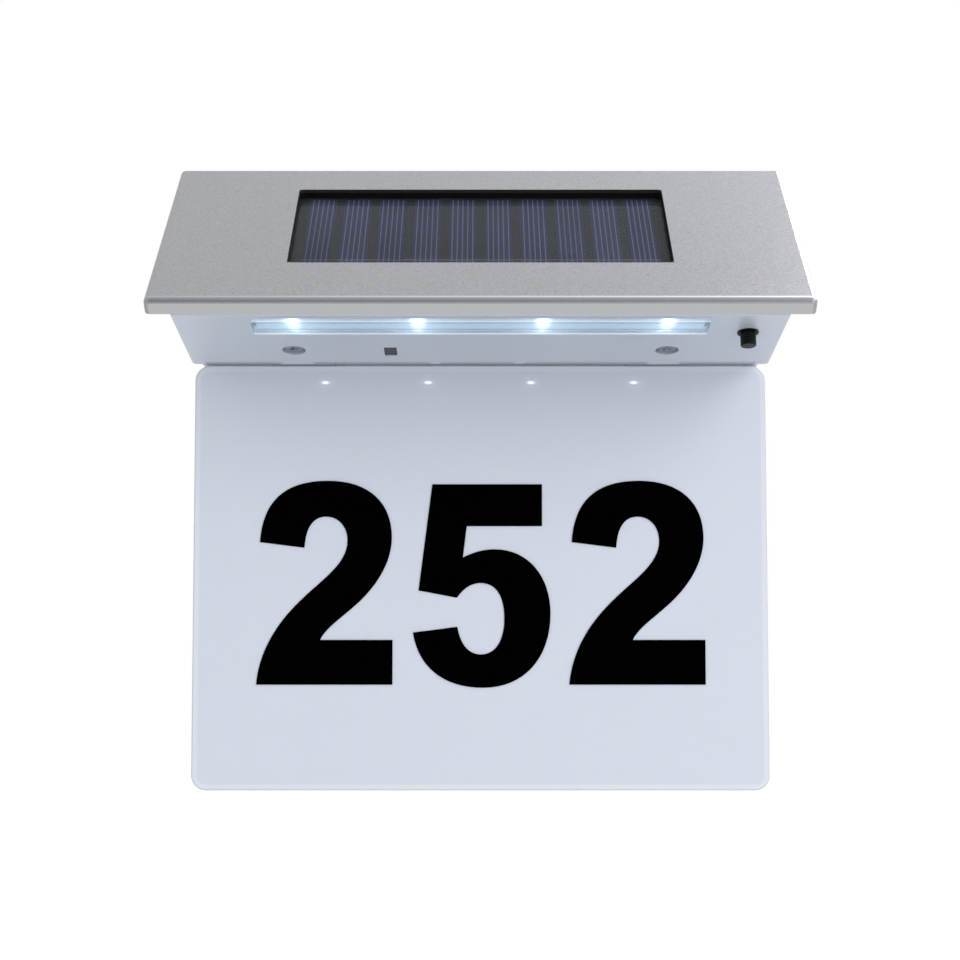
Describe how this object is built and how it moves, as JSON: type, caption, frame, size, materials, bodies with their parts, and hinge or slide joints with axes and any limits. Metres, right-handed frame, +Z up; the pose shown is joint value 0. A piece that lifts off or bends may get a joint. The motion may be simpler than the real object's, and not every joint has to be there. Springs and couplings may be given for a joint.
{
  "type": "illuminated house number sign",
  "caption": "Wall sign with a sloping solar roof over a light strip that shines down a flat number plate, with dusk sensor and push button.",
  "frame": {"origin": "midway between the two keyholes of the back plate, in the wall plane", "axes": "+Y into the wall, +Z up, +X to the right as seen by a viewer in front; the sign faces -Y"},
  "size_m": [0.195, 0.0682, 0.2006],
  "materials": {
    "cover_silver": "fine silver metallic paint, satin",
    "frame_silver": "silver metallic moulding, satin",
    "plate_acrylic": "milky acrylic, polished",
    "lens_clear": "clear moulded acrylic",
    "panel_glass": "clear glass",
    "solar_cell": "dark blue silicon",
    "panel_backing": "dark grey green laminate",
    "seal_black": "matt",
    "board_green": "lacquered circuit board",
    "led_white": "clear epoxy, lit",
    "steel": "bright",
    "contact_nickel": "nickel plated",
    "switch_black": "satin",
    "button_black": "satin",
    "holder_black": "matt",
    "cell_sleeve": "shrink sleeve",
    "board_white": "white lacquered circuit board",
    "wire_red": "soft sleeve",
    "ferrite": "matt",
    "smoked_clear": "dark translucent"
  },
  "bodies": {
    "housing": {"top_cover": "cover_silver", "window_gasket": "seal_black", "solar_glass": "panel_glass", "solar_cells": "solar_cell", "solar_backing": "panel_backing", "panel_clamps": "steel", "clamp_nuts": "steel", "cover_nuts": "steel", "housing_frame": "frame_silver", "cover_seal": "seal_black", "back_plate": "frame_silver", "back_screws": "steel", "bottom_cover": "frame_silver", "bottom_screws": "steel", "number_plate": "plate_acrylic", "light_lens": "lens_clear", "led_board": "board_white", "leds": "led_white", "led_board_screws": "steel", "switch_body": "switch_black", "switch_nut": "steel", "button_spring": "steel", "sensor_window": "smoked_clear", "light_sensor": "smoked_clear", "control_board": "board_green", "control_board_screws": "steel", "control_chip": "switch_black", "boost_coil": "ferrite", "battery_holder": "holder_black", "battery": "cell_sleeve", "battery_contacts": "contact_nickel", "holder_screws": "steel", "solar_lead": "wire_red", "light_lead": "wire_red", "switch_lead": "wire_red", "battery_lead": "wire_red"},
    "button": {"button_cap": "button_black"}
  },
  "joints": [
    {"name": "button_press", "type": "slide", "parent": "housing", "child": "button", "axis": [0, 0.184, 0.9829], "range_m": [0, 0.0016], "stiffness_N_per_m": 400, "deforming": ["button_spring"]}
  ]
}
